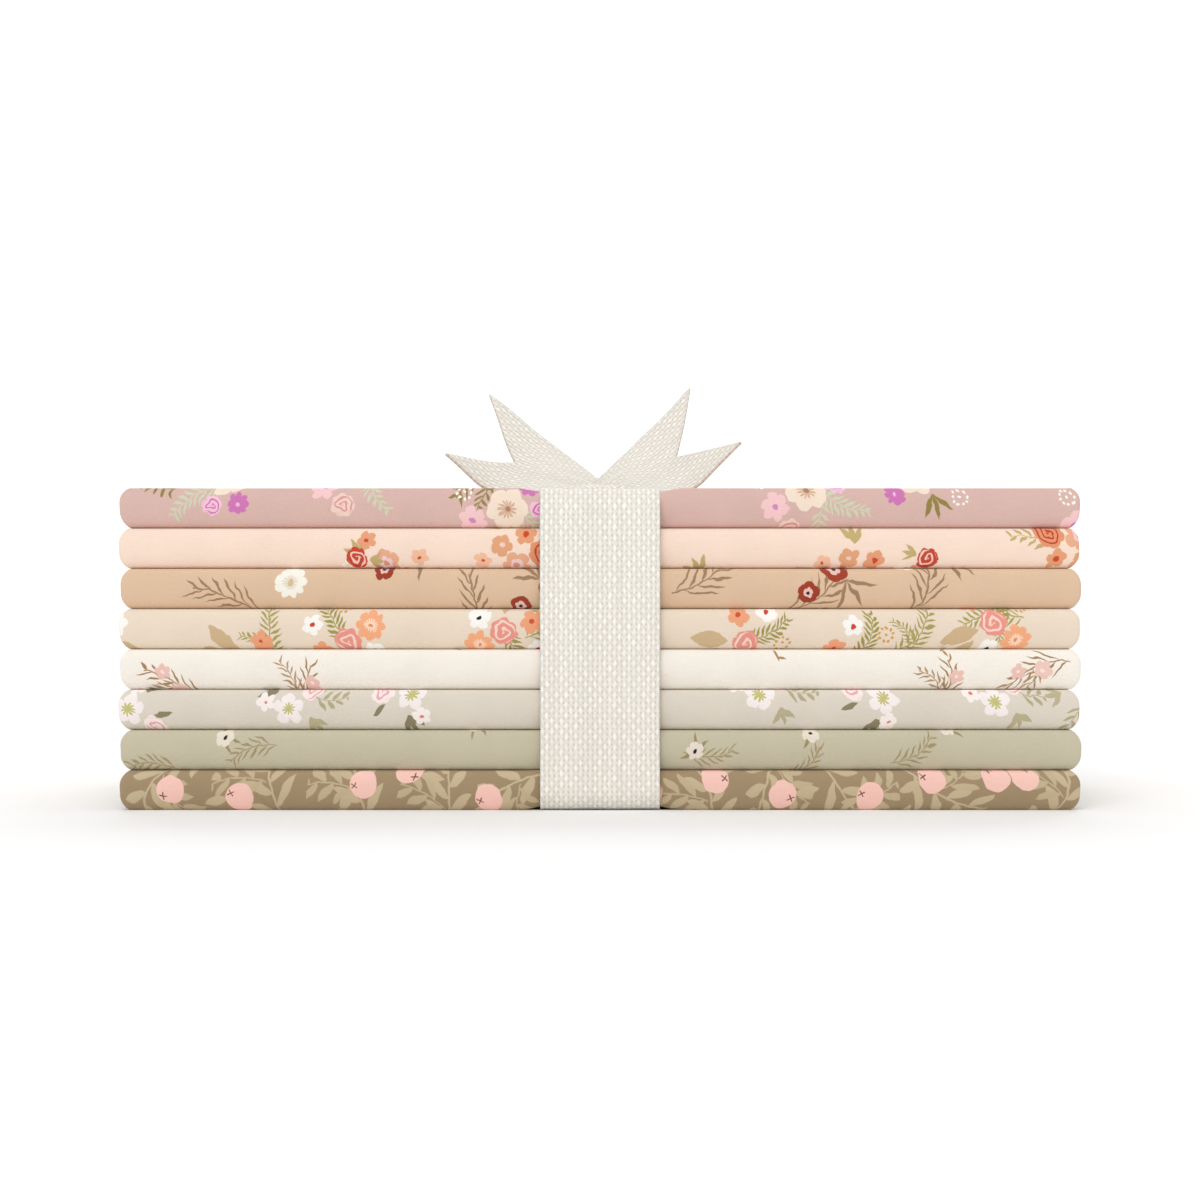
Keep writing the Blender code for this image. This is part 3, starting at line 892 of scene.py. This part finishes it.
IVORY_PRINT = dict(
    ground=tint(245, 238, 227),
    layers=[
        dict(pitch=26, jitter=0.55, chance=0.62, shift=(38, 127), chart=[
            dict(motif="sprig", at=(0, 0), size=8.0, leaf=tint(166, 128, 88), leaves=3, slope=1.3,
                 length=0.42, width=0.04),
            dict(motif="sprig", at=(2.0, 3.0), turn=52, size=5.5, leaf=tint(180, 144, 104), leaves=3,
                 slope=1.2, width=0.05),
            dict(motif="blossom", at=(-1.2, 0.6), size=2.3, petal=tint(238, 200, 188),
                 heart=tint(250, 228, 220)),
            dict(motif="blossom", at=(4.4, -1.4), turn=30, size=1.9, petal=PALE_BLOOM,
                 heart=tint(250, 228, 220)),
        ]),
        dict(pitch=19, jitter=0.7, chance=0.25, shift=(150, 46), chart=[
            dict(motif="leaf", at=(0, 0), size=1.5, leaf=TWIG, width=0.22),
            dict(motif="leaf", at=(1.2, 0.9), turn=60, size=1.2, leaf=TWIG, width=0.22),
        ]),
    ],
)

GREIGE_PRINT = dict(
    ground=tint(221, 212, 198),
    layers=[
        dict(pitch=28, jitter=0.45, chance=0.8, shift=(191, 113), chart=[
            dict(motif="fan", at=(-4.6, 3.4), turn=140, size=4.8, leaf=GREY_LEAF, blades=3, width=0.15),
            dict(motif="fan", at=(1.0, -5.0), turn=-80, size=4.6, leaf=tint(186, 176, 142), blades=3,
                 width=0.15),
            dict(motif="sprig", at=(7.0, -2.4), turn=-20, size=4.6, leaf=tint(180, 170, 134), leaves=2,
                 length=0.5, width=0.1),
            dict(motif="leaf", at=(2.0, 5.4), turn=70, size=2.2, leaf=GREY_LEAF, width=0.34),
            dict(motif="blossom", at=(-3.0, -1.4), size=3.7, notch=0.44, petal=tint(247, 240, 238),
                 tip=tint(244, 226, 224), stamens=tint(198, 192, 124)),
            dict(motif="rose", at=(3.4, 1.4), size=2.7, petal=tint(249, 232, 228),
                 line=tint(232, 172, 172), rings=1.9),
            dict(motif="blossom", at=(-7.6, 2.0), turn=20, size=2.3, petal=tint(250, 240, 236),
                 heart=tint(222, 132, 108)),
        ]),
        dict(pitch=22, jitter=0.7, chance=0.22, shift=(180, 56), chart=[
            dict(motif="fan", at=(0, 0), size=3.8, leaf=tint(176, 166, 132), blades=3, width=0.15),
        ]),
    ],
)

SAGE_PRINT = dict(
    ground=tint(198, 191, 166),
    layers=[
        dict(pitch=25, jitter=0.6, chance=0.5, shift=(186, 40), chart=[
            dict(motif="sprig", at=(0, 0), size=6.0, leaf=tint(166, 148, 108), leaves=3, slope=1.3,
                 length=0.42, width=0.05),
        ]),
        dict(pitch=29, jitter=0.5, chance=0.72, shift=(105, 64), chart=[
            dict(motif="fan", at=(0, 0), turn=-110, size=4.2, leaf=MEADOW, blades=2, width=0.09),
            dict(motif="fan", at=(0, 0), turn=40, size=4.0, leaf=MEADOW, blades=1, width=0.10,
                 spread=0.5),
            dict(motif="blossom", at=(0, 0), size=2.2, petal=tint(232, 222, 206), heart=BLACK,
                 heart_share=0.2),
        ]),
    ],
)

UMBER_PRINT = dict(
    ground=tint(163, 141, 110),
    hand=0.6,
    layers=[
        dict(pitch=21, jitter=0.5, chance=1.1, shift=(90, 73), chart=[
            dict(motif="sprig", at=(0, 0), size=12, leaf=VINE, leaves=2, slope=0.9, length=0.50,
                 width=0.10),
            dict(motif="sprig", at=(2, 7), turn=75, size=8, leaf=tint(196, 178, 144), leaves=2,
                 slope=0.9, length=0.58, width=0.125),
        ]),
        dict(pitch=15, jitter=0.6, chance=0.72, shift=(196, 190), chart=[
            dict(motif="leaf", at=(-4.6, 2.4), turn=150, size=3.2, leaf=VINE, width=0.36),
            dict(motif="fruit", at=(0.0, -1.0), turn=20, size=3.5, petal=tint(248, 202, 190),
                 line=tint(120, 78, 60)),
        ]),
    ],
)


def cotton_print(name, design):
    """A printed quilting cotton: the print's layers over its ground, on the fine plain weave."""
    recipe = Recipe(bpy.data.materials.new(name))
    place = recipe.cloth_place()
    stray = design.get("hand", HAND)
    drawn = recipe.shaken(place, 0.42, 1.0, (stray, stray, 0.0))
    color = design["ground"]
    for layer in design["layers"]:
        moved = recipe.vector("ADD", drawn, (*layer["shift"], 0.0))
        way, lots = recipe.cells(moved, layer["pitch"], layer["jitter"])
        way = recipe.turned(way, lots[0] * (2 * math.pi))
        keep = (layer["chance"] - lots[1]).step(0.002)
        for spec in layer["chart"]:
            space = recipe.placed(way, spec["at"], spec.get("turn", 0), spec["size"])
            color = PAINTERS[spec["motif"]](recipe, color, space, spec, keep)
    return finish_cotton(recipe, place, color)


def finish_cotton(recipe, place, color):
    """The fine plain weave as bump, and in the colour as painted shade and highlight that follow its yarns'
    relief, and the slight mottle and matte face of cotton.
    """
    x, y, _ = recipe.split(place)
    turn_x = x * (2 * math.pi / COTTON_YARN)
    turn_y = y * (2 * math.pi / COTTON_YARN)
    weave = turn_x.cos() * turn_y.cos()
    mottle = Thread(recipe, recipe.noise(place, 0.09, 3.0).outputs[0])
    drawn_out = recipe.vector("MULTIPLY", place, (0.25, 3.0, 1.0))
    slub = Thread(recipe, recipe.noise(drawn_out, 0.8, 2.0).outputs[0])
    # The mottle and slubs vary the cloth's own tone; the weave term is painted shade and highlight, lighter
    # where the weave's bump stands up
    shade = (mottle - 0.5) * 0.07 + (slub - 0.5) * 0.05 + weave * 0.018 + 1.0
    height = weave * 0.5 + (slub - 0.5) * 0.8
    return recipe.finish(
        Base_Color=recipe.shaded(color, shade),
        Normal=recipe.bump(height, 0.35, 0.00006),
        Roughness=0.88,
        Specular_IOR_Level=0.25,
        Sheen_Weight=0.12,
    )


def ribbon_weave():
    """The ribbon's coarse plain weave. Column i and row j of yarns take turns: where i + j is even the
    lengthwise yarn floats over as a pale dash, and elsewhere the crosswise yarn shows. Each yarn and each
    crossing is a little lighter or darker by chance. The colour follows the weave's height: the raised
    dashes are lighter, partly the yarns' own pale tone and partly painted highlight, and the gaps at the
    corners hold painted shade.
    """
    recipe = Recipe(bpy.data.materials.new("ribbon_weave"))
    place = recipe.cloth_place()
    x, y, _ = recipe.split(recipe.shaken(place, 0.55, 2.0, (0.55, 0.5, 0.0)))
    across = x / WARP_PITCH + 0.5
    along = y / PICK_PITCH + 0.5
    column = across.floor()
    row = along.floor()
    off_x = across - column - 0.5
    off_y = along - row - 0.5
    odd = ((column + row) * 0.5).fract() * 2
    lot = recipe.chance("2D", Vector=recipe.join(column, row))
    warp = recipe.chance("1D", W=column)
    near_x = off_x.abs()
    near_y = off_y.abs()
    # The dash of an even cell reaches into the odd ones above and below it, and a small gap shows at every
    # corner, which the colour darkens as painted shade
    from_dash = near_y + odd * (1 - near_y * 2)
    dash = (1 - (off_x * off_x * 10.0 + from_dash * from_dash * 1.7)).most(0.0)
    # Painted shade: the hollow at each corner, where the yarns part, darkens the colour as well as the bump
    corner_x = (0.5 - near_x) * 4.4
    corner_y = (0.5 - near_y) * 2.5
    gap_hollow_and_shade = (1 - (corner_x * corner_x + corner_y * corner_y)).most(0.0)
    drawn_out = recipe.vector("MULTIPLY", place, (9.0, 1.6, 1.0))
    fiber = Thread(recipe, recipe.noise(drawn_out, 1.0, 3.0).outputs[0])
    height = dash * (lot * 0.5 + 0.55) - gap_hollow_and_shade * (lot * 0.3 + 0.5) + (fiber - 0.5) * 0.5
    # The colour follows the height: painted highlight on the raised dashes and painted shade in the gaps,
    # over the yarns' own pale tone
    light = (height * 0.5 + 0.60).most(0.0).least(1.0)
    color = recipe.mix(light, tint(198, 189, 166), tint(254, 252, 247))
    shade = (warp - 0.5) * 0.05 + (lot - 0.5) * 0.05 + 1.0
    return recipe.finish(
        Base_Color=recipe.shaded(color, shade),
        Normal=recipe.bump(height, 0.5, 0.00018),
        Roughness=0.85,
        Specular_IOR_Level=0.25,
        Sheen_Weight=0.1,
    )


# --------------------------------------------------------------------------------------------------
# The pieces
# --------------------------------------------------------------------------------------------------

CUTS = [
    dict(node="fat_quarter_rose", slot="print_rose", design=ROSE_PRINT, seed=11),
    dict(node="fat_quarter_blush", slot="print_blush", design=BLUSH_PRINT, seed=22),
    dict(node="fat_quarter_apricot", slot="print_apricot", design=APRICOT_PRINT, seed=33),
    dict(node="fat_quarter_cream", slot="print_cream", design=CREAM_PRINT, seed=44),
    dict(node="fat_quarter_ivory", slot="print_ivory", design=IVORY_PRINT, seed=55),
    dict(node="fat_quarter_greige", slot="print_greige", design=GREIGE_PRINT, seed=66),
    dict(node="fat_quarter_sage", slot="print_sage", design=SAGE_PRINT, seed=77),
    dict(node="fat_quarter_umber", slot="print_umber", design=UMBER_PRINT, seed=88),
]


def make_cuts():
    for row in CUTS:
        piece = folded_cut(row["node"], row["seed"])
        piece.data.materials.append(cotton_print(row["slot"], row["design"]))
        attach(piece, "root")
        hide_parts(row["node"])


def make_ribbon():
    side_y = float(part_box("ribbon")[1][1])
    top_z = float(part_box(TOP_NODE)[1][2])
    material = ribbon_weave()
    sheets = [
        band_sheet(top_z, side_y),
        free_end(LEFT_END, 5, 1),
        free_end(RIGHT_END, 9, -1),
    ]
    ribbon = grid_mesh("ribbon_cloth", sheets)
    thicken(ribbon, RIBBON)
    knot = grid_mesh("ribbon_knot", [knot_mesh(top_z)])
    for piece in (ribbon, knot):
        piece.data.materials.append(material)
        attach(piece, "root")
    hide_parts("ribbon")


# --------------------------------------------------------------------------------------------------
# Floor, light and camera
# --------------------------------------------------------------------------------------------------


def make_stage():
    mesh = bpy.data.meshes.new("floor")
    corners = [(x * FLOOR_REACH, y * FLOOR_REACH, 0) for x, y in ((-1, -1), (1, -1), (1, 1), (-1, 1))]
    mesh.from_pydata(corners, [], [(0, 1, 2, 3)])
    floor = bpy.data.objects.new("floor", mesh)
    bpy.context.scene.collection.objects.link(floor)
    recipe = Recipe(bpy.data.materials.new("floor_white"))
    white = (0.93, 0.93, 0.93, 1.0)
    mesh.materials.append(recipe.finish(Base_Color=white, Roughness=1.0, Specular_IOR_Level=0.0))


def sun(name, toward, strength, spread_deg):
    """A distant soft light that shines along a direction, so that the whole floor is equally bright."""
    light = bpy.data.lights.new(name, "SUN")
    light.energy = strength
    light.angle = math.radians(spread_deg)
    lamp = bpy.data.objects.new(name, light)
    bpy.context.scene.collection.objects.link(lamp)
    lamp.rotation_euler = Vector(toward).to_track_quat("-Z", "Y").to_euler()


def make_light():
    world = bpy.data.worlds.new("studio")
    bpy.context.scene.world = world
    recipe = Recipe(world)
    white = (1.0, 1.0, 1.0, 1.0)
    lit = recipe.node("ShaderNodeBackground", inputs={"Color": white, "Strength": SKY_LIGHT}).outputs[0]
    shown = recipe.node("ShaderNodeBackground", inputs={"Color": white, "Strength": SKY_SHOWN}).outputs[0]
    camera_ray = recipe.node("ShaderNodeLightPath").outputs["Is Camera Ray"]
    sky = recipe.node("ShaderNodeMixShader", inputs={0: camera_ray, 1: lit, 2: shown}).outputs[0]
    recipe.feed(recipe.tree.nodes["World Output"].inputs["Surface"], sky)
    sun("key", (0.12, 0.72, -0.80), 1.15, 40)
    sun("back", (-0.05, -0.75, -0.65), 1.1, 45)


def make_camera():
    low, _ = (np.array(corner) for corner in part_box(TOP_NODE))
    data = bpy.data.cameras.new("camera")
    data.sensor_width = 36.0
    data.lens = data.sensor_width * CAMERA_DISTANCE / VIEW_WIDTH
    camera = bpy.data.objects.new("camera", data)
    camera.location = (0.0, float(low[1]) - CAMERA_DISTANCE, EYE_HEIGHT)
    camera.rotation_euler = (math.pi / 2, 0.0, 0.0)
    bpy.context.scene.collection.objects.link(camera)
    bpy.context.scene.camera = camera
    bpy.context.scene.view_settings.view_transform = "Standard"


make_camera()
make_light()
make_stage()
make_cuts()
make_ribbon()
